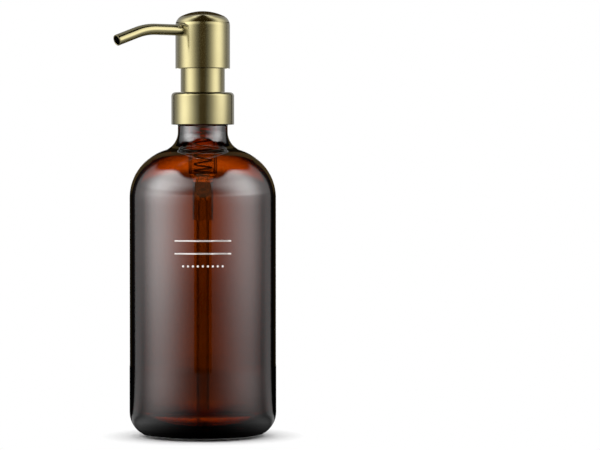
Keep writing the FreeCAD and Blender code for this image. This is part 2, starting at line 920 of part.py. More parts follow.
def make_spout():
    spout = new_body("spout")
    tip_run = s.spout_tip_length * cosine(s.spout_droop_angle)
    tip_fall = s.spout_tip_length * sine(s.spout_droop_angle)
    bend_run = s.spout_bend_radius * sine(s.spout_droop_angle)
    bend_fall = s.spout_bend_radius - s.spout_bend_radius * cosine(s.spout_droop_angle)
    bend_end_x = -(s.spout_reach - tip_run)
    bend_x = -(s.spout_reach - tip_run - bend_run)
    path = new_sketch(spout, "path", "XZ_Plane")
    draw(path, [
        corner(-s.spout_seat, spout_z),
        corner(bend_x, spout_z),
        arc_to(bend_end_x, spout_z - bend_fall, bend_x, spout_z - s.spout_bend_radius,
               s.spout_bend_radius),
        corner(-s.spout_reach, spout_z - bend_fall - tip_fall),
    ], closed=False)
    section = new_sketch(spout, "section", "YZ_Plane", -s.spout_seat)
    draw_circle(section, ZERO, spout_z, spout_r)
    draw_circle(section, ZERO, spout_z, spout_r - s.spout_wall)
    tube = spout.newObject("PartDesign::AdditivePipe", "bent_tube")
    tube.Profile = section
    tube.Spine = (path, ["Edge1", "Edge2", "Edge3"])
    return spout


def make_spout_o_ring():
    ring = doc.addObject("Part::Torus", "spout_o_ring")
    ring.Label = "spout_o_ring"
    section_r = s.o_ring_section / 2
    ring.setExpression("Radius1", (spout_r + section_r).text)
    ring.setExpression("Radius2", (section_r - s.snug).text)
    ring.Placement.Rotation = FreeCAD.Rotation(FreeCAD.Vector(0, 1, 0), 90)
    groove_x = -(s.spout_seat + s.o_ring_depth)
    ring.setExpression("Placement.Base.x", (groove_x - section_r - s.snug).text)
    ring.setExpression("Placement.Base.z", spout_z.text)
    return ring


parts = [
    make_bottle(),
    make_closure_insert(),
    make_collar_shell(),
    make_riser_sleeve(),
    make_neck_gasket(),
    make_pump_housing(),
    make_chaplet(),
    make_stem_wiper(),
    make_dip_tube(),
    make_ball_retainer(),
    make_ball("inlet_ball", inlet_ball_r, inlet_ball_z),
    make_stem(),
    make_piston(),
    make_piston_retainer(),
    make_return_spring(),
    make_head_core(),
    make_head_shell(),
    make_ball("outlet_ball", outlet_ball_r, stem_top - seat_depth + outlet_rise),
    make_spout(),
    make_spout_o_ring(),
]
doc.recompute()

for item in doc.Objects:
    if "Invalid" in item.State or "Error" in item.State:
        raise RuntimeError(f"{item.Label} failed: {item.State}")
for part in parts:
    if part.Shape.isNull() or not part.Shape.isValid():
        raise RuntimeError(f"{part.Label} has no valid shape")

os.makedirs("parts", exist_ok=True)
for part in parts:
    part.Shape.exportStep(f"parts/{part.Label}.step")
    print(f"{part.Label}: {part.Shape.Volume:.1f} mm3, {len(part.Shape.Solids)} solid")
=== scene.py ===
import math

import bpy
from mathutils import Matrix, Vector


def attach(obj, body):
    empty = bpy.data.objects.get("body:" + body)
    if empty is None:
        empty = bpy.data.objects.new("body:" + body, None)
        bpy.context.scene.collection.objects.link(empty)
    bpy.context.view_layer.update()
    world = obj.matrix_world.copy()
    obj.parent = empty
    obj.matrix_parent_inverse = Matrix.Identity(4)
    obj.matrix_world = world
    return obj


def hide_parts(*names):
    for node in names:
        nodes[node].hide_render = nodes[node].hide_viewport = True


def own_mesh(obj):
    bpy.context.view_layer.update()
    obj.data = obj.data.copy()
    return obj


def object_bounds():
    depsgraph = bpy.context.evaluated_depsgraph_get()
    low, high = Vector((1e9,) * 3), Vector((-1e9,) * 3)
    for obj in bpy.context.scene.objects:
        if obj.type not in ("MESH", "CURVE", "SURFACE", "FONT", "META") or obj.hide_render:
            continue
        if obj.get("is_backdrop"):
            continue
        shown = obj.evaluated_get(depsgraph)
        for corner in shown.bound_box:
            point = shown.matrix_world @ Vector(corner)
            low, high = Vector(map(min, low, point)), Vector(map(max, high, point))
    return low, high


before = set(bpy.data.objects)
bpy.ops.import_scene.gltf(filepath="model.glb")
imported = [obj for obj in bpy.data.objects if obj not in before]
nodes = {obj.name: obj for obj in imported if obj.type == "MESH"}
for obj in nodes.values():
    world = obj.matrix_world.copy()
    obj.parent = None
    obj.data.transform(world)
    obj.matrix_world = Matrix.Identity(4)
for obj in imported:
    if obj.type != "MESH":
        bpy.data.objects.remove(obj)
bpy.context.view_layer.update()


# The bottle: blown amber glass with a round shoulder and a short screw-thread neck, one moulding.
# It is turned from one outline that runs over the outside, round the rim and down the inside, so
# that light bends through a real wall. Thread, seam and base bars are part of the same skin.

MM = 0.001
BODY_R = 37.5
GLASS_WALL = 2.4
SHOULDER_WALL = 1.8
BASE_THICKNESS = 5.5
PUSH_UP = 2.4
HEEL_R = 12.3
BEARING_R = BODY_R - HEEL_R
BEARING_WIDTH = 1.8
SHOULDER_Z = 122.0
SHOULDER_R = 25.8
NECK_R = 12.8
NECK_FILLET = 9.5
NECK_LENGTH = 3.36
FINISH_R = 12.45
FINISH_LENGTH = 11.0
FINISH_STEP = 0.4
BORE_R = 9.0
RIM_ROUND = 0.8
THREAD_PITCH = 4.2333
THREAD_DEPTH = 1.2
THREAD_START = 2.2
THREAD_TURNS = 1.25
THREAD_CREST = 0.9
THREAD_FLANK = 0.6
THREAD_RUN_OUT = 0.1
BAR_MARGIN = 0.3
BAR_DEPTH = 0.22
SEAM_SIDES = (math.radians(144), math.radians(324))
SEAM_HEIGHT = 0.04
WAVE_FOOT = 20.0
WAVE_DEPTH = 0.10
GLASS_SIDES = 192
SAME = 1e-6


def arc(centre_r, centre_z, radius, start, end, steps):
    """(radius, height) points along an arc, angles in degrees from straight outward."""
    turns = [math.radians(start + (end - start) * i / steps) for i in range(steps + 1)]
    return [(centre_r + radius * math.cos(a), centre_z + radius * math.sin(a)) for a in turns]


def line(start, end, steps):
    """Points along a straight line, both ends included."""
    return [
        (start[0] + (end[0] - start[0]) * i / steps, start[1] + (end[1] - start[1]) * i / steps)
        for i in range(steps + 1)
    ]


def without_repeats(points):
    """The points less those that stand on the one before."""
    kept = [points[0]]
    for point in points[1:]:
        if math.dist(point, kept[-1]) > SAME:
            kept.append(point)
    return kept


def add_piece(name, points, faces, sharp=40):
    """A mesh object from points in metres, smooth but for edges sharper than the angle."""
    mesh = bpy.data.meshes.new(name)
    mesh.from_pydata(points, [], faces)
    mesh.validate()
    mesh.shade_smooth()
    mesh.set_sharp_from_angle(angle=math.radians(sharp))
    piece = bpy.data.objects.new(name, mesh)
    bpy.context.scene.collection.objects.link(piece)
    return piece


def turn(name, outline, sides, closed=False, skin=None, sharp=40):
    """Turns (radius, height) points in millimetres about the axis. skin may move each point."""
    points = []
    rings = []
    for radius, height in without_repeats(outline):
        if radius < SAME:
            rings.append([len(points)])
            points.append((0, 0, height * MM))
            continue
        ring = []
        for side in range(sides):
            angle = 2 * math.pi * side / sides
            r, z = skin(radius, height, angle) if skin else (radius, height)
            ring.append(len(points))
            points.append((r * math.cos(angle) * MM, r * math.sin(angle) * MM, z * MM))
        rings.append(ring)
    if closed:
        rings.append(rings[0])
    faces = []
    for low, high in zip(rings, rings[1:]):
        for side in range(sides):
            after = (side + 1) % sides
            if len(low) == 1:
                faces.append((low[0], high[after], high[side]))
            elif len(high) == 1:
                faces.append((low[side], low[after], high[0]))
            else:
                faces.append((low[side], low[after], high[after], high[side]))
    return add_piece(name, points, faces, sharp)


def shoulder_run(side_r, shoulder_r, neck_r, fillet_r):
    """The round shoulder and the hollow at the neck's root, with the height of the neck's foot."""
    centre_r = side_r - shoulder_r
    step = neck_r + fillet_r - centre_r
    rise = math.sqrt((shoulder_r + fillet_r) ** 2 - step ** 2)
    lean = math.degrees(math.atan2(rise, step))
    neck_z = SHOULDER_Z + rise
    points = arc(centre_r, SHOULDER_Z, shoulder_r, 0, lean, 36)
    points += arc(neck_r + fillet_r, neck_z, fillet_r, 180 + lean, 180, 18)
    return points, neck_z


def thread_rise(angle, height, foot, turns, crest):
    """How much of a screw thread's depth stands at an angle and a height, run out at both ends."""
    most = 0.0
    for lap in range(int(turns) + 1):
        along = angle / (2 * math.pi) + lap
        if along > turns:
            continue
        off = abs(height - foot - THREAD_PITCH * along)
        share = min(1.0, max(0.0, (crest / 2 + THREAD_FLANK - off) / THREAD_FLANK))
        run_out = min(1.0, along / THREAD_RUN_OUT, (turns - along) / THREAD_RUN_OUT)
        most = max(most, share * share * (3 - 2 * share) * run_out)
    return most


outer_run, neck_z = shoulder_run(BODY_R, SHOULDER_R, NECK_R, NECK_FILLET)
finish_z = neck_z + NECK_LENGTH
rim_z = finish_z + FINISH_LENGTH
hollow_r = BEARING_R - BEARING_WIDTH
hollow_round = (hollow_r ** 2 + PUSH_UP ** 2) / (2 * PUSH_UP)
hollow_edge = math.degrees(math.acos(hollow_r / hollow_round))
inner_r = BODY_R - GLASS_WALL
inner_heel = HEEL_R - GLASS_WALL
inner_run = shoulder_run(
    inner_r, SHOULDER_R - SHOULDER_WALL, BORE_R, NECK_FILLET + GLASS_WALL)[0]

bottle_outline = [
    *arc(0, PUSH_UP - hollow_round, hollow_round, 90, hollow_edge, 12),
    (hollow_r + BAR_MARGIN, 0), (BEARING_R - BAR_MARGIN, 0),
    *arc(BEARING_R, HEEL_R, HEEL_R, -90, 0, 28),
    *line((BODY_R, HEEL_R), (BODY_R, SHOULDER_Z), 28),
    *outer_run,
    *line((NECK_R, neck_z), (NECK_R, finish_z), 4),
    *line((FINISH_R, finish_z + FINISH_STEP), (FINISH_R, rim_z - RIM_ROUND), 52),
    *arc(FINISH_R - RIM_ROUND, rim_z - RIM_ROUND, RIM_ROUND, 0, 90, 6),
    *arc(BORE_R + RIM_ROUND, rim_z - RIM_ROUND, RIM_ROUND, 90, 180, 6),
    *reversed(inner_run),
    *line((inner_r, SHOULDER_Z), (inner_r, BASE_THICKNESS + inner_heel), 28),
    *arc(inner_r - inner_heel, BASE_THICKNESS + inner_heel, inner_heel, 0, -90, 18),
    *line((inner_r - inner_heel, BASE_THICKNESS), (0, BASE_THICKNESS), 6),
]


def glass_skin(radius, height, angle):
    """The thread, the base's bars, the mould's seam and the waves that blowing leaves inside."""
    if abs(radius - FINISH_R) < SAME and finish_z + FINISH_STEP <= height <= rim_z - RIM_ROUND:
        rise = thread_rise(angle, height, finish_z + THREAD_START, THREAD_TURNS, THREAD_CREST)
        return radius + THREAD_DEPTH * rise, height
    if height == 0 and hollow_r + BAR_MARGIN / 2 < radius < BEARING_R - BAR_MARGIN / 2:
        return radius, BAR_DEPTH * (round(angle / (2 * math.pi) * GLASS_SIDES) % 2)
    if abs(radius - BODY_R) < SAME and HEEL_R <= height <= SHOULDER_Z:
        near = min(abs(angle - seam) for seam in SEAM_SIDES)
        return radius + SEAM_HEIGHT * (near < math.pi / GLASS_SIDES), height
    if abs(radius - inner_r) < SAME and WAVE_FOOT < height < SHOULDER_Z:
        fade = math.sin(math.pi * (height - WAVE_FOOT) / (SHOULDER_Z - WAVE_FOOT))
        slow = math.sin(2 * angle + 0.7) * math.sin(height / 17)
        slow += 0.6 * math.sin(3 * angle + height / 23)
        return radius + WAVE_DEPTH * fade * slow, height
    return radius, height


def new_finish(name, **constants):
    """A material whose even values sit on the shader's own sockets, with its tree and shader."""
    finish = bpy.data.materials.new(name)
    finish.use_nodes = True
    tree = finish.node_tree
    shader = tree.nodes["Principled BSDF"]
    for socket, value in constants.items():
        shader.inputs[socket.replace("_", " ")].default_value = value
    return finish, tree, shader


def place(tree):
    """The point on the piece, in metres, in the shared frame."""
    return tree.nodes.new("ShaderNodeTexCoord").outputs["Object"]


def sum_of(tree, kind, first, second):
    """One step of arithmetic on values that change over the surface."""
    step = tree.nodes.new("ShaderNodeMath")
    step.operation = kind
    for socket, value in zip(step.inputs, (first, second)):
        if isinstance(value, (int, float)):
            socket.default_value = value
        else:
            tree.links.new(value, socket)
    return step.outputs[0]


def noise(tree, vector, scale, detail=3.0):
    """Cloudy values from 0 to 1, finer as the scale grows."""
    texture = tree.nodes.new("ShaderNodeTexNoise")
    texture.inputs["Scale"].default_value = scale
    texture.inputs["Detail"].default_value = detail
    tree.links.new(vector, texture.inputs["Vector"])
    return texture.outputs["Fac"]


def spread(tree, value, low, high, start=0.3, end=0.7):
    """Maps a value that changes over the surface onto a range."""
    remap = tree.nodes.new("ShaderNodeMapRange")
    ends = {"From Min": start, "From Max": end, "To Min": low, "To Max": high}
    for socket, number in ends.items():
        remap.inputs[socket].default_value = number
    tree.links.new(value, remap.inputs["Value"])
    return remap.outputs["Result"]


def shades(tree, value, first, second, start=0.3, end=0.7):
    """A colour that goes from one tone to another with a value."""
    mix = tree.nodes.new("ShaderNodeMix")
    mix.data_type = "RGBA"
    mix.inputs["A"].default_value = (*first, 1)
    mix.inputs["B"].default_value = (*second, 1)
    tree.links.new(spread(tree, value, 0, 1, start, end), mix.inputs["Factor"])
    return mix.outputs["Result"]


def relief(tree, shader, height, strength, distance):
    """Fine unevenness that only the shading shows."""
    bump = tree.nodes.new("ShaderNodeBump")
    bump.inputs["Strength"].default_value = strength
    bump.inputs["Distance"].default_value = distance
    tree.links.new(height, bump.inputs["Height"])
    tree.links.new(bump.outputs["Normal"], shader.inputs["Normal"])


# A clear coat strengthens the shine, and the colour comes from the light lost in the wall.
amber_glass, tree, shader = new_finish(
    "amber_glass", Base_Color=(1, 1, 1, 1), IOR=1.52, Transmission_Weight=1.0,
    Coat_Weight=1.0, Coat_IOR=1.9, Coat_Roughness=0.02)
point = place(tree)
tree.links.new(spread(tree, noise(tree, point, 60), 0.0, 0.008), shader.inputs["Roughness"])
relief(tree, shader, noise(tree, point, 45, 1), strength=0.03, distance=0.001)
absorb = tree.nodes.new("ShaderNodeVolumeAbsorption")
absorb.inputs["Color"].default_value = (0.78, 0.54, 0.05, 1)
absorb.inputs["Density"].default_value = 1700.0
tree.links.new(absorb.outputs["Volume"], tree.nodes["Material Output"].inputs["Volume"])

bottle = turn("glass_bottle", bottle_outline, GLASS_SIDES, skin=glass_skin, sharp=50)
bottle.data.materials.append(amber_glass)
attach(bottle, "bottle")
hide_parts("bottle")


# The print: a plain write-on field in white enamel, fired onto the front of the glass.
# Two fine rules with a row of dots below them, each a thin raised strip that follows the curve.

FRONT = math.radians(234)
PRINT_FOOT = 0.006
PRINT_THICK = 0.03
FIELD_WIDTH = 29.0
FIELD_LOW = 94.2
FIELD_HIGH = 100.6
RULE_HEIGHT = 0.75
DOT_COUNT = 9
DOT_ROW = 88.3
DOT_ROW_WIDTH = 20.0
DOT_R = 0.55
RULE_STEPS = 24
DOT_SIDES = 20


def laid_on_glass(outline):
    """A flat outline of (across, height) points laid on the glass as a thin closed solid."""
    points = []
    for lift in (PRINT_FOOT, PRINT_FOOT + PRINT_THICK):
        radius = (BODY_R + lift) * MM
        for across, height in outline:
            angle = FRONT + across / BODY_R
            points.append((radius * math.cos(angle), radius * math.sin(angle), height * MM))
    count = len(outline)
    faces = [tuple(reversed(range(count))), tuple(range(count, 2 * count))]
    for i in range(count):
        after = (i + 1) % count
        faces.append((i, after, count + after, count + i))
    return points, faces


def bar(low, high, width):
    """A rule's outline, with points enough along it to follow the curve."""
    across = [width * (i / RULE_STEPS - 0.5) for i in range(RULE_STEPS + 1)]
    return [(a, low) for a in across] + [(a, high) for a in reversed(across)]


def dot(middle):
    """A round dot's outline."""
    turns = [2 * math.pi * i / DOT_SIDES for i in range(DOT_SIDES)]
    return [(middle + DOT_R * math.cos(a), DOT_ROW + DOT_R * math.sin(a)) for a in turns]


marks = [bar(z, z + RULE_HEIGHT, FIELD_WIDTH) for z in (FIELD_LOW, FIELD_HIGH)]
marks += [dot(DOT_ROW_WIDTH * (i / (DOT_COUNT - 1) - 0.5)) for i in range(DOT_COUNT)]
print_points = []
print_faces = []
for mark in marks:
    points, faces = laid_on_glass(mark)
    print_faces += [tuple(len(print_points) + i for i in face) for face in faces]
    print_points += points

white_enamel, tree, shader = new_finish("white_enamel", IOR=1.5)
point = place(tree)
tree.links.new(
    shades(tree, noise(tree, point, 900), (0.86, 0.80, 0.77), (0.93, 0.88, 0.85)),
    shader.inputs["Base Color"])
tree.links.new(spread(tree, noise(tree, point, 1500), 0.35, 0.55), shader.inputs["Roughness"])
field = add_piece("printed_field", print_points, print_faces)
field.data.materials.append(white_enamel)
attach(field, "bottle")


# The neck gasket: a soft white washer that the closure presses onto the glass rim.
# The piston, the stem's wiper ring and the spout's ring are moulded in the same matt material.


def repaint(finish, *names):
    """Gives CAD pieces a finish."""
    for name in names:
        for slot in nodes[name].material_slots:
            slot.material = finish


soft_seal, tree, shader = new_finish("soft_seal", IOR=1.48, Sheen_Weight=0.15)
point = place(tree)
tree.links.new(
    shades(tree, noise(tree, point, 500), (0.74, 0.74, 0.70), (0.82, 0.82, 0.79)),
    shader.inputs["Base Color"])
tree.links.new(spread(tree, noise(tree, point, 2500), 0.55, 0.75), shader.inputs["Roughness"])
relief(tree, shader, noise(tree, point, 3500), strength=0.2, distance=0.00005)
repaint(soft_seal, "neck_gasket", "piston", "stem_wiper", "spout_o_ring")


# The pump barrel with its dip tube and ball cage: natural polypropylene and polyethylene, milky
# and half clear. The barrel is moulded, the tube drawn, cut on a slant and pushed into its socket.

# The low index keeps their outlines faint behind the amber glass.
natural_plastic, tree, shader = new_finish("natural_plastic", IOR=1.06, Transmission_Weight=0.97)
point = place(tree)
tree.links.new(
    shades(tree, noise(tree, point, 180), (0.81, 0.81, 0.78), (0.87, 0.87, 0.84)),
    shader.inputs["Base Color"])
tree.links.new(spread(tree, noise(tree, point, 1200), 0.03, 0.06), shader.inputs["Roughness"])
relief(tree, shader, noise(tree, point, 1600), strength=0.06, distance=0.00003)
repaint(natural_plastic, "dip_tube")

milky_plastic, tree, shader = new_finish("milky_plastic", IOR=1.06, Transmission_Weight=0.97)
point = place(tree)
tree.links.new(
    shades(tree, noise(tree, point, 180), (0.84, 0.83, 0.78), (0.90, 0.89, 0.85)),
    shader.inputs["Base Color"])
tree.links.new(spread(tree, noise(tree, point, 1200), 0.10, 0.18), shader.inputs["Roughness"])
relief(tree, shader, noise(tree, point, 1600), strength=0.06, distance=0.00003)
repaint(milky_plastic, "pump_housing", "ball_retainer")


# The return spring: stainless wire, wound with close end turns, standing on the ball cage.
# It is swept along its own helix. The two valve balls are ground from the same steel.

WIRE_R = 0.45
COIL_R = 4.35
COIL_LOW = 133.501
COIL_HIGH = 160.161
COIL_TURNS = 8
END_PITCH = 1.35
COIL_STEPS = 40
WIRE_SIDES = 12

coil_steps = COIL_TURNS * COIL_STEPS
open_pitch = (COIL_HIGH - COIL_LOW - END_PITCH * COIL_TURNS) / (COIL_TURNS / 2)
coil_points = []
coil_faces = []
for step in range(coil_steps + 1):
    laps = step / COIL_STEPS
    # The pitch swells from the close end turns to the open middle and back.
    swell = laps / 2 - COIL_TURNS / (4 * math.pi) * math.sin(2 * math.pi * laps / COIL_TURNS)
    height = COIL_LOW + END_PITCH * laps + open_pitch * swell
    angle = 2 * math.pi * laps
    for side in range(WIRE_SIDES):
        a = 2 * math.pi * side / WIRE_SIDES
        r = COIL_R + WIRE_R * math.cos(a)
        z = height + WIRE_R * math.sin(a)
        coil_points.append((r * math.cos(angle) * MM, r * math.sin(angle) * MM, z * MM))
for step in range(coil_steps):
    for side in range(WIRE_SIDES):
        after = (side + 1) % WIRE_SIDES
        low = step * WIRE_SIDES
        high = low + WIRE_SIDES
        coil_faces.append((low + side, low + after, high + after, high + side))
coil_faces.append(tuple(reversed(range(WIRE_SIDES))))
coil_faces.append(tuple(range(coil_steps * WIRE_SIDES, (coil_steps + 1) * WIRE_SIDES)))

spring_steel, tree, shader = new_finish("spring_steel", Metallic=1.0, Anisotropic=0.3)
point = place(tree)
tree.links.new(
    shades(tree, noise(tree, point, 900), (0.55, 0.55, 0.54), (0.66, 0.66, 0.65)),
    shader.inputs["Base Color"])
tree.links.new(spread(tree, noise(tree, point, 3000), 0.18, 0.32), shader.inputs["Roughness"])
spring = add_piece("spring_coil", coil_points, coil_faces)
spring.data.materials.append(spring_steel)
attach(spring, "pump_core")
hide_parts("return_spring")
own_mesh(spring)
repaint(spring_steel, "inlet_ball", "outlet_ball")


# The screw closure: a white moulded cap with a riser, held loosely between the barrel's flange and
# its guide cap, with a screw thread inside its skirt that runs in the groove of the glass one.
# Guide cap, stem, bush and head core are moulded in the same white plastic.

PLATE_Z = rim_z + 2.9
PLATE_TOP = PLATE_Z + 1.7
CLOSURE_TOP = PLATE_Z + 2.25
SKIRT_Z = finish_z + 0.8
SKIRT_R = 15.33
SKIRT_BORE_R = 13.95
SKIRT_ROUND = 1.3
RISER_R = 10.73
RISER_BORE_R = 9.55
RISER_TOP = 189.931
CLOSURE_HOLE_R = 7.4
CAP_THREAD_DEPTH = 1.15
CAP_THREAD_TURNS = 1.2
CAP_THREAD_CREST = 0.8
CAP_THREAD_GAP = 0.5
EASE = 0.2


def eased(points, ease):
    """Cuts each corner of a closed outline back a little, as a mould's edges are."""
    cut = []
    for i, here in enumerate(points):
        for other in (points[i - 1], points[(i + 1) % len(points)]):
            reach = math.dist(here, other)
            share = min(ease, reach / 3) / reach
            cut.append(tuple(h + (o - h) * share for h, o in zip(here, other)))
    return cut


def closure_skin(radius, height, angle):
    """The thread inside the skirt, half a pitch above the glass one."""
    if abs(radius - SKIRT_BORE_R) < SAME and height < PLATE_Z - CAP_THREAD_GAP:
        foot = finish_z + THREAD_START + THREAD_PITCH / 2
        rise = thread_rise(angle, height, foot, CAP_THREAD_TURNS, CAP_THREAD_CREST)
        return radius - CAP_THREAD_DEPTH * rise, height
    return radius, height


closure_edge = eased([
    (SKIRT_R, SKIRT_Z), (SKIRT_R, CLOSURE_TOP - SKIRT_ROUND),
    (SKIRT_R - SKIRT_ROUND, CLOSURE_TOP), (RISER_R, CLOSURE_TOP),
    (RISER_R, RISER_TOP), (RISER_BORE_R, RISER_TOP),
    (RISER_BORE_R, PLATE_TOP), (CLOSURE_HOLE_R, PLATE_TOP),
    (CLOSURE_HOLE_R, PLATE_Z), (SKIRT_BORE_R, PLATE_Z),
    (SKIRT_BORE_R, SKIRT_Z),
], EASE)
closure_outline = [
    *closure_edge[:2],
    *arc(SKIRT_R - SKIRT_ROUND, CLOSURE_TOP - SKIRT_ROUND, SKIRT_ROUND, 0, 90, 6),
    *closure_edge[6:-2],
    *line((SKIRT_BORE_R, PLATE_Z - EASE), (SKIRT_BORE_R, SKIRT_Z + EASE), 60),
    closure_edge[-1],
]

white_plastic, tree, shader = new_finish("white_plastic", IOR=1.49)
point = place(tree)
tree.links.new(
    shades(tree, noise(tree, point, 220), (0.80, 0.80, 0.78), (0.87, 0.87, 0.85)),
    shader.inputs["Base Color"])
tree.links.new(spread(tree, noise(tree, point, 1800), 0.32, 0.48), shader.inputs["Roughness"])
relief(tree, shader, noise(tree, point, 2600), strength=0.15, distance=0.00004)
closure = turn(
    "threaded_closure", closure_outline, GLASS_SIDES, closed=True, skin=closure_skin, sharp=30)
closure.data.materials.append(white_plastic)
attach(closure, "collar")
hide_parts("closure_insert")
repaint(white_plastic, "chaplet", "stem", "piston_retainer", "head_core")


# The collar, the sleeve and the head: thin brass, spun and drawn, brushed round on the lathe and
# left satin under clear lacquer. Fine rings run round each piece, and the tone drifts a little.

BRASS_PALE = (0.345, 0.300, 0.130)
BRASS_DEEP = (0.305, 0.260, 0.105)
GRAIN_ALONG = 40
GRAIN_ACROSS = 8000


def satin_brass(name, across):
    """Brass brushed in fine lines. across gives the tree's socket that runs across the lines."""
    finish, tree, shader = new_finish(
        name, Metallic=1.0, Anisotropic=0.35, Coat_Weight=1.0, Coat_IOR=1.6, Coat_Roughness=0.12)
    point = place(tree)
    lines = tree.nodes.new("ShaderNodeCombineXYZ")
    split = tree.nodes.new("ShaderNodeSeparateXYZ")
    tree.links.new(point, split.inputs[0])
    tree.links.new(sum_of(tree, "MULTIPLY", split.outputs["X"], GRAIN_ALONG), lines.inputs["X"])
    tree.links.new(sum_of(tree, "MULTIPLY", split.outputs["Y"], GRAIN_ALONG), lines.inputs["Y"])
    tree.links.new(sum_of(tree, "MULTIPLY", across(tree, split), GRAIN_ACROSS), lines.inputs["Z"])
    brush = noise(tree, lines.outputs[0], 1, 4)
    drift = noise(tree, point, 70, 2)
    tone = shades(tree, drift, BRASS_DEEP, BRASS_PALE, 0.25, 0.75)
    tree.links.new(tone, shader.inputs["Base Color"])
    tree.links.new(spread(tree, brush, 0.18, 0.21), shader.inputs["Roughness"])
    relief(tree, shader, brush, strength=0.04, distance=0.00001)
    return finish


def round_lines(tree, split):
    """Height less radius: it rises all the way up a side and in over a top."""
    flat = tree.nodes.new("ShaderNodeCombineXYZ")
    tree.links.new(split.outputs["X"], flat.inputs["X"])
    tree.links.new(split.outputs["Y"], flat.inputs["Y"])
    length = tree.nodes.new("ShaderNodeVectorMath")
    length.operation = "LENGTH"
    tree.links.new(flat.outputs[0], length.inputs[0])
    return sum_of(tree, "SUBTRACT", split.outputs["Z"], length.outputs["Value"])


turned_brass = satin_brass("turned_brass", round_lines)
repaint(turned_brass, "collar_shell", "riser_sleeve", "head_shell")


# The spout: drawn brass tube, bent down once and pushed into the head's core through a seal.
# The wall is swept along its bend, its cut end is eased, and its brush lines run along it.

SPOUT_R = 2.85
SPOUT_WALL = 0.5
SPOUT_SEAT = 4.5
SPOUT_REACH = 53.0
SPOUT_Z = 207.231
SPOUT_BEND = 35.0
SPOUT_DROOP = math.radians(19.2)
SPOUT_TIP = 12.6
TIP_EASE = 0.12
SPOUT_STEPS = 60
SPOUT_SIDES = 48

bend_end = SPOUT_REACH - SPOUT_TIP * math.cos(SPOUT_DROOP)
bend_start = bend_end - SPOUT_BEND * math.sin(SPOUT_DROOP)


def along_spout(distance):
    """Centre and heading, as (outward, up), at a distance along the tube from its seat."""
    straight = bend_start - SPOUT_SEAT
    bent = SPOUT_BEND * SPOUT_DROOP
    turned = min(max(distance - straight, 0), bent) / SPOUT_BEND
    out = SPOUT_SEAT + min(distance, straight) + SPOUT_BEND * math.sin(turned)
    up = SPOUT_Z - SPOUT_BEND * (1 - math.cos(turned))
    rest = max(distance - straight - bent, 0)
    heading = (math.cos(turned), -math.sin(turned))
    return (out + heading[0] * rest, up + heading[1] * rest), heading


spout_length = bend_start - SPOUT_SEAT + SPOUT_BEND * SPOUT_DROOP + SPOUT_TIP
bore = SPOUT_R - SPOUT_WALL
walk = [spout_length * i / SPOUT_STEPS for i in range(SPOUT_STEPS)]
spout_rings = [(d, SPOUT_R) for d in walk]
spout_rings += [
    (spout_length - TIP_EASE, SPOUT_R),
    (spout_length - TIP_EASE * 0.3, SPOUT_R - TIP_EASE * 0.3),
    (spout_length, SPOUT_R - TIP_EASE),
    (spout_length, bore + TIP_EASE),
    (spout_length - TIP_EASE, bore),
]
spout_rings += [(d, bore) for d in reversed(walk)]
spout_points = []
for distance, radius in spout_rings:
    (out, up), heading = along_spout(distance)
    for side in range(SPOUT_SIDES):
        a = 2 * math.pi * side / SPOUT_SIDES
        rise = radius * math.sin(a)
        spout_points.append((
            -(out - heading[1] * rise) * MM,
            radius * math.cos(a) * MM,
            (up + heading[0] * rise) * MM,
        ))
spout_faces = []
for ring in range(len(spout_rings)):
    low = ring * SPOUT_SIDES
    high = (ring + 1) % len(spout_rings) * SPOUT_SIDES
    for side in range(SPOUT_SIDES):
        after = (side + 1) % SPOUT_SIDES
        spout_faces.append((low + side, high + side, high + after, low + after))


def long_lines(tree, split):
    """Round the tube: lines that keep to one side of it run along its length."""
    return split.outputs["Y"]


drawn_brass = satin_brass("drawn_brass", long_lines)
spout = add_piece("spout_tube", spout_points, spout_faces, 30)
spout.data.materials.append(drawn_brass)
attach(spout, "head")
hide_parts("spout")


# The studio: a pale floor, two tall curved softboxes at the sides and dark cards between them, all
# out of shot and not seen directly. The room behind is plain white. Heights and distances here are
# in metres, and swings are degrees round the axis, to the right as the camera sees it.

RING_R = 0.5
SOFTBOX_EDGE = 13
SOFTBOX_STEP = 2.285
SOFTBOX_SPLIT = 40
SOFTBOX_COLUMNS = 61
SOFTBOX_SWING = 71
TENT_R = 0.0146
TENT_FOOT = 0.2122
TENT_TOP = 0.226
TENT_STEPS = 6
BRASS_CARD_R = 0.0167
BRASS_CARD_FOOT = 0.1595
BACKING = 0.0002
SPOUT_CARD_GAP = 1.2
SPOUT_CARD_START = 12
SPOUT_CARD_SIDES = (-2.4, 5.0)
TABLE_Z = 0.0003
CARD_BROWN = (1, 0.7, 0.25)
CARD_WHITE = (1, 1, 1)


def round_the_object(swing, distance, height):
    """A point at a swing, a distance from the axis and a height."""
    angle = FRONT + math.radians(swing)
    return Vector((distance * math.cos(angle), distance * math.sin(angle), height))


def smooth(value, start, end):
    """0 before the start, 1 past the end, and an even curve between them."""
    share = min(1.0, max(0.0, (value - start) / (end - start)))
    return share * share * (3 - 2 * share)


def screen(name, points, rows, values):
    """A sheet out of shot, from columns of points with a light value each."""
    faces = []
    for left in range(0, len(points) - rows, rows):
        right = left + rows
        for j in range(rows - 1):
            faces.append((left + j, left + j + 1, right + j + 1, right + j))
    sheet = add_piece(name, points, faces)
    sheet.data.attributes.new("light", "FLOAT", "POINT").data.foreach_set("value", values)
    sheet.visible_camera = False
    sheet.visible_shadow = False
    sheet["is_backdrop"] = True
    return sheet


def curtain(name, swings, heights, glow, lean=lambda z: RING_R):
    """A curved screen that stands round the object."""
    points = [round_the_object(swing, lean(z), z) for swing in swings for z in heights]
    values = [glow(swing, z) for swing in swings for z in heights]
    return screen(name, points, len(heights), values)


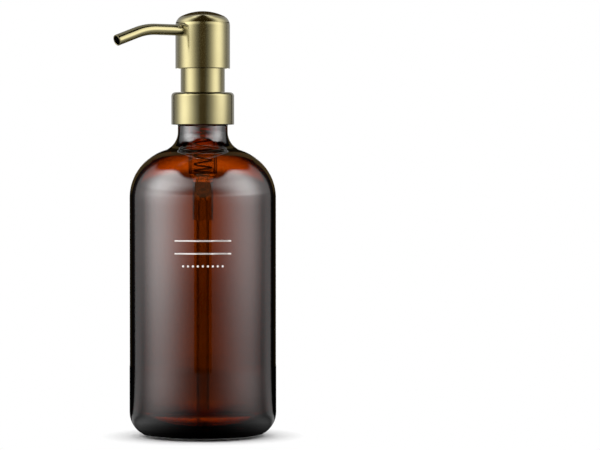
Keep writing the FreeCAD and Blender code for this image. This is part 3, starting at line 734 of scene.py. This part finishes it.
def lay(name, height, distances, glow):
    """A round screen that lies flat over or under the object."""
    swings = range(-180, 181, 3)
    points = [round_the_object(swing, d, height) for swing in swings for d in distances]
    values = [glow(swing, d) for swing in swings for d in distances]
    return screen(name, points, len(distances), values)


def beside(off, inner, outer):
    """How a panel's light falls off to its two sides: a soft bell, inner towards the camera."""
    return math.exp(-0.5 * (off / (inner if off < 0 else outer)) ** 2)


def panel_edge(off):
    """The even grey of a panel's far edge, which ends at a dark card."""
    return 0.24 * smooth(off, 28, 48) * (1 - smooth(off, 56, 61))


def softbox_glow(swing, height):
    """Bright in the middle and fading to both sides, brightest where the shoulder finds it."""
    off = abs(swing) - SOFTBOX_SWING
    # From low to high, the body finds the panel, then the brass, then the shoulder.
    crown = smooth(height, 0.236, 0.27)
    level = 0.9 + 0.9 * smooth(height, 0, 0.10) + 0.5 * smooth(height, 0.104, 0.124)
    level += 0.45 * smooth(height, 0.12, 0.17) + 0.75 * crown - 0.7 * smooth(height, 0.36, 0.52)
    if swing > 0:
        level *= 0.62 + 0.34 * smooth(height, 0.155, 0.178) - 0.14 * crown
    inner = 26 - 4 * smooth(height, 0.17, 0.2) + 8 * smooth(height, 0.22, 0.42)
    light = level * beside(off, inner, 20) + panel_edge(off)
    top = 0.67 - 0.12 * smooth(off, 0, 45) - 0.10 * smooth(-off, 5, 45)
    return light * (1 - smooth(height, top - 0.07, top))


def softbox_lean(height):
    """Upright at first, then leaning in over the object."""
    return RING_R - 0.28 * smooth(height, 0.40, 0.90)


def tent_glow(swing, where):
    """The light of a small tent over the head, which carries the panels' light up and over it."""
    turned = (swing + 180) % 360 - 180
    off = abs(turned)
    bright = (2.0 if turned < 0 else 1.8) * beside(off - 43, 9, 13)
    return 0.04 + bright + 0.4 * smooth(off, 45, 75) * (1 - smooth(off, 95, 130))


def rear_glow(swing, height):
    """The lit sheet behind the bottle: a narrow strip, wider and brighter behind the shoulder."""
    off = max(0.0, abs(swing - 180) - 1.5)
    high = smooth(height, 0.143, 0.158)
    level = 0.42 + 0.58 * smooth(height, 0.04, 0.09) - 0.6 * smooth(height, 0.113, 0.124)
    level += (4.4 - 1.6 * smooth(height, 0.165, 0.19) - level) * high
    width = 3.2 + 6.5 * high
    return level * beside(off, width, width) * (1 - smooth(height, 0.195, 0.22))


def front_card_glow(swing, height):
    """Black beside the body, dark above it, where the brass finds it."""
    return 0.11 * (height > 0.13)


def rear_card_glow(swing, height):
    """Nearly black beside the body, and dark above it, where the shoulder's edge finds it."""
    return 0.01 + 0.07 * (height > 0.15)


def brass_card_glow(swing, height):
    """Dim where the metal's edges find it, with two soft lit bands round the back."""
    off = abs(swing - 180)
    return 0.12 + 0.28 * smooth(off, 45, 65) + 2.1 * beside(off - 32, 13, 13)


def nearly_black(swing, where):
    """The cards behind and over the object."""
    return 0.01


def unlit(swing, where):
    """Backings, which keep the light of a card from showing on its outside."""
    return 0.0


def table_glow(swing, distance):
    """The panels' and the strip's light carried on over the table, with painted shadow at the
    bottle's foot.
    """
    off = abs(swing) - SOFTBOX_SWING
    panels = beside(off, 25, 20) * (0.9 if swing < 0 else 0.61)
    panels = panels * (0.35 + 0.65 * smooth(distance, 0.05, 0.40)) + panel_edge(off)
    # Painted shadow: the sheet goes dark close to the bottle's foot, where the floor lies in its
    # shade.
    panels *= smooth(distance, 0.030, 0.055)
    strip = 0.6 - 0.2 * smooth(distance, 0.12, 0.40)
    return max(panels, strip * beside(180 - abs(swing), 7, 7))


def sheet_light(name):
    """A sheet's own light, as bright as the value each of its points has."""
    finish = bpy.data.materials.new(name)
    finish.use_nodes = True
    finish.cycles.emission_sampling = "NONE"
    tree = finish.node_tree
    tree.nodes.clear()
    value = tree.nodes.new("ShaderNodeAttribute")
    value.attribute_name = "light"
    lamp = tree.nodes.new("ShaderNodeEmission")
    output = tree.nodes.new("ShaderNodeOutputMaterial")
    tree.links.new(value.outputs["Fac"], lamp.inputs["Strength"])
    tree.links.new(lamp.outputs[0], output.inputs["Surface"])
    return finish, tree, value.outputs["Fac"], lamp


softbox_heights = [0.01 * i for i in range(77)]
softboxes = []
for side_name, side in (("left", -1), ("right", 1)):
    columns = [side * (SOFTBOX_EDGE + SOFTBOX_STEP * i) for i in range(SOFTBOX_COLUMNS)]
    halves = {"near": columns[:SOFTBOX_SPLIT + 1], "far": columns[SOFTBOX_SPLIT:]}
    for half, swings in halves.items():
        softbox = curtain(
            f"softbox_{half}_{side_name}", swings, softbox_heights, softbox_glow, softbox_lean)
        # The near half would shine through the clear plastic and wash it out.
        softbox.visible_transmission = half == "far"
        softboxes.append(softbox)

rear_strip = curtain("rear_strip", range(165, 196), [0.005 * i for i in range(55)], rear_glow)
rear_strip.visible_glossy = False
rear_strip.visible_diffuse = False
table_rings = [0.030, 0.034, 0.04, 0.05, 0.065, 0.08, 0.1, 0.15, 0.2, 0.3, 0.4, RING_R]
table = lay("table_card", TABLE_Z, table_rings, table_glow)
table.visible_diffuse = False
panel_light = sheet_light("panel_light")[0]
for sheet in softboxes + [rear_strip, table]:
    sheet.data.materials.append(panel_light)

rear_card_heights = [0.0, 0.13, 0.17, 0.9]
far_cards = [
    curtain("card_left", range(-165, -144, 5), rear_card_heights, rear_card_glow),
    curtain("card_right", range(145, 166, 5), rear_card_heights, rear_card_glow),
    curtain("card_back", range(165, 196, 5), [0.26, 0.9], nearly_black),
    lay("card_top", 0.86, [0.0001, RING_R * 1.02], nearly_black),
]

front_swings = [-SOFTBOX_EDGE, -6, 0, 6, SOFTBOX_EDGE]
round_swings = range(0, 361, 5)
behind_swings = range(74, 287, 4)
tent_heights = [TENT_FOOT + (TENT_TOP - TENT_FOOT) * i / TENT_STEPS for i in range(TENT_STEPS + 1)]
spout_cover = []
for distance in walk[SPOUT_CARD_START:]:
    (out, up), heading = along_spout(distance)
    rise = SPOUT_R + SPOUT_CARD_GAP
    for side in SPOUT_CARD_SIDES:
        corner = Vector((-(out - heading[1] * rise), side, up + heading[0] * rise))
        spout_cover.append(corner * MM)
near_cards = [
    curtain("card_front", front_swings, [0.0, 0.12, 0.16, 0.9], front_card_glow),
    lay("tent_top", TENT_TOP, [0.0001, 0.005, 0.01, TENT_R], tent_glow),
    curtain("tent_side", round_swings, tent_heights, tent_glow, lambda z: TENT_R),
    curtain("tent_back", round_swings, [TENT_FOOT, TENT_TOP + BACKING], unlit,
            lambda z: TENT_R + BACKING),
    curtain("card_behind_brass", behind_swings, [BRASS_CARD_FOOT, TENT_FOOT], brass_card_glow,
            lambda z: BRASS_CARD_R),
    curtain("brass_card_back", behind_swings, [BRASS_CARD_FOOT - BACKING, TENT_FOOT + BACKING],
            unlit, lambda z: BRASS_CARD_R + BACKING),
    screen("spout_card", spout_cover, len(SPOUT_CARD_SIDES), [0.35] * len(spout_cover)),
]
# The cards are brown rather than black: a warm tone where they are dim, white where they are lit.
card_light, tree, value, lamp = sheet_light("card_light")
tree.links.new(shades(tree, value, CARD_BROWN, CARD_WHITE, 0.06, 0.3), lamp.inputs["Color"])
for card in far_cards + near_cards:
    card.data.materials.append(card_light)
    card.visible_diffuse = False
for card in near_cards:
    card.visible_transmission = False

FLOOR_R = 6.0
FLOOR_Z = -0.0001
FLOOR_SIDES = 72
SHADOW_NEAR = 0.030
SHADOW_FAR = 0.052


def shown_white(tree):
    """1 for rays that should find the plain white room: those seen, mirrored or looked through."""
    path = tree.nodes.new("ShaderNodeLightPath")
    seen = sum_of(tree, "MAXIMUM", path.outputs["Is Camera Ray"], path.outputs["Is Glossy Ray"])
    return sum_of(tree, "MAXIMUM", seen, path.outputs["Is Transmission Ray"])


floor_points = [Vector((0, 0, FLOOR_Z))]
for i in range(FLOOR_SIDES):
    floor_points.append(round_the_object(360 / FLOOR_SIDES * i, FLOOR_R, FLOOR_Z))
floor_faces = [(0, 1 + i, 1 + (i + 1) % FLOOR_SIDES) for i in range(FLOOR_SIDES)]
floor = add_piece("floor", floor_points, floor_faces)
pale_floor, tree, shader = new_finish(
    "pale_floor", Base_Color=(0.9, 0.9, 0.9, 1), Roughness=0.7, Specular_IOR_Level=0.1)
white = tree.nodes.new("ShaderNodeEmission")
far = tree.nodes.new("ShaderNodeVectorMath")
far.operation = "LENGTH"
tree.links.new(place(tree), far.inputs[0])
# The floor takes the shadow near the bottle, and turns into the white room away from it.
away = spread(tree, far.outputs["Value"], 0, 1, SHADOW_NEAR, SHADOW_FAR)
blend = tree.nodes.new("ShaderNodeMixShader")
tree.links.new(sum_of(tree, "MULTIPLY", shown_white(tree), away), blend.inputs["Fac"])
tree.links.new(shader.outputs[0], blend.inputs[1])
tree.links.new(white.outputs[0], blend.inputs[2])
tree.links.new(blend.outputs[0], tree.nodes["Material Output"].inputs["Surface"])
floor.data.materials.append(pale_floor)
floor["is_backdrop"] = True

ROOM_LIGHT = 1.25

world = bpy.data.worlds.new("white_room")
bpy.context.scene.world = world
world.use_nodes = True
tree = world.node_tree
room = tree.nodes["Background"]
room.inputs["Strength"].default_value = ROOM_LIGHT
room.inputs["Color"].default_value = (1, 1, 1, 1)
backdrop = tree.nodes.new("ShaderNodeBackground")
backdrop.inputs["Strength"].default_value = 1.0
backdrop.inputs["Color"].default_value = (1, 1, 1, 1)
blend = tree.nodes.new("ShaderNodeMixShader")
tree.links.new(shown_white(tree), blend.inputs["Fac"])
tree.links.new(room.outputs[0], blend.inputs[1])
tree.links.new(backdrop.outputs[0], blend.inputs[2])
tree.links.new(blend.outputs[0], tree.nodes["World Output"].inputs["Surface"])
bpy.context.scene.view_settings.view_transform = "Standard"

EYE_DISTANCE = 1.5
EYE_HEIGHT = 0.145
AIM_RIGHT = 0.04972
AIM_HEIGHT = 0.108
LENS = 175.9

camera = bpy.data.objects.new("camera", bpy.data.cameras.new("camera"))
bpy.context.scene.collection.objects.link(camera)
bpy.context.scene.camera = camera
camera.data.sensor_width = 36.0
camera.data.lens = LENS
camera.location = round_the_object(0, EYE_DISTANCE, EYE_HEIGHT)
aim = round_the_object(90, AIM_RIGHT, AIM_HEIGHT)
camera.rotation_mode = "QUATERNION"
camera.rotation_quaternion = (aim - camera.location).to_track_quat("-Z", "Y")
camera.data.clip_start = 0.05
camera.data.clip_end = 50

low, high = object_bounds()
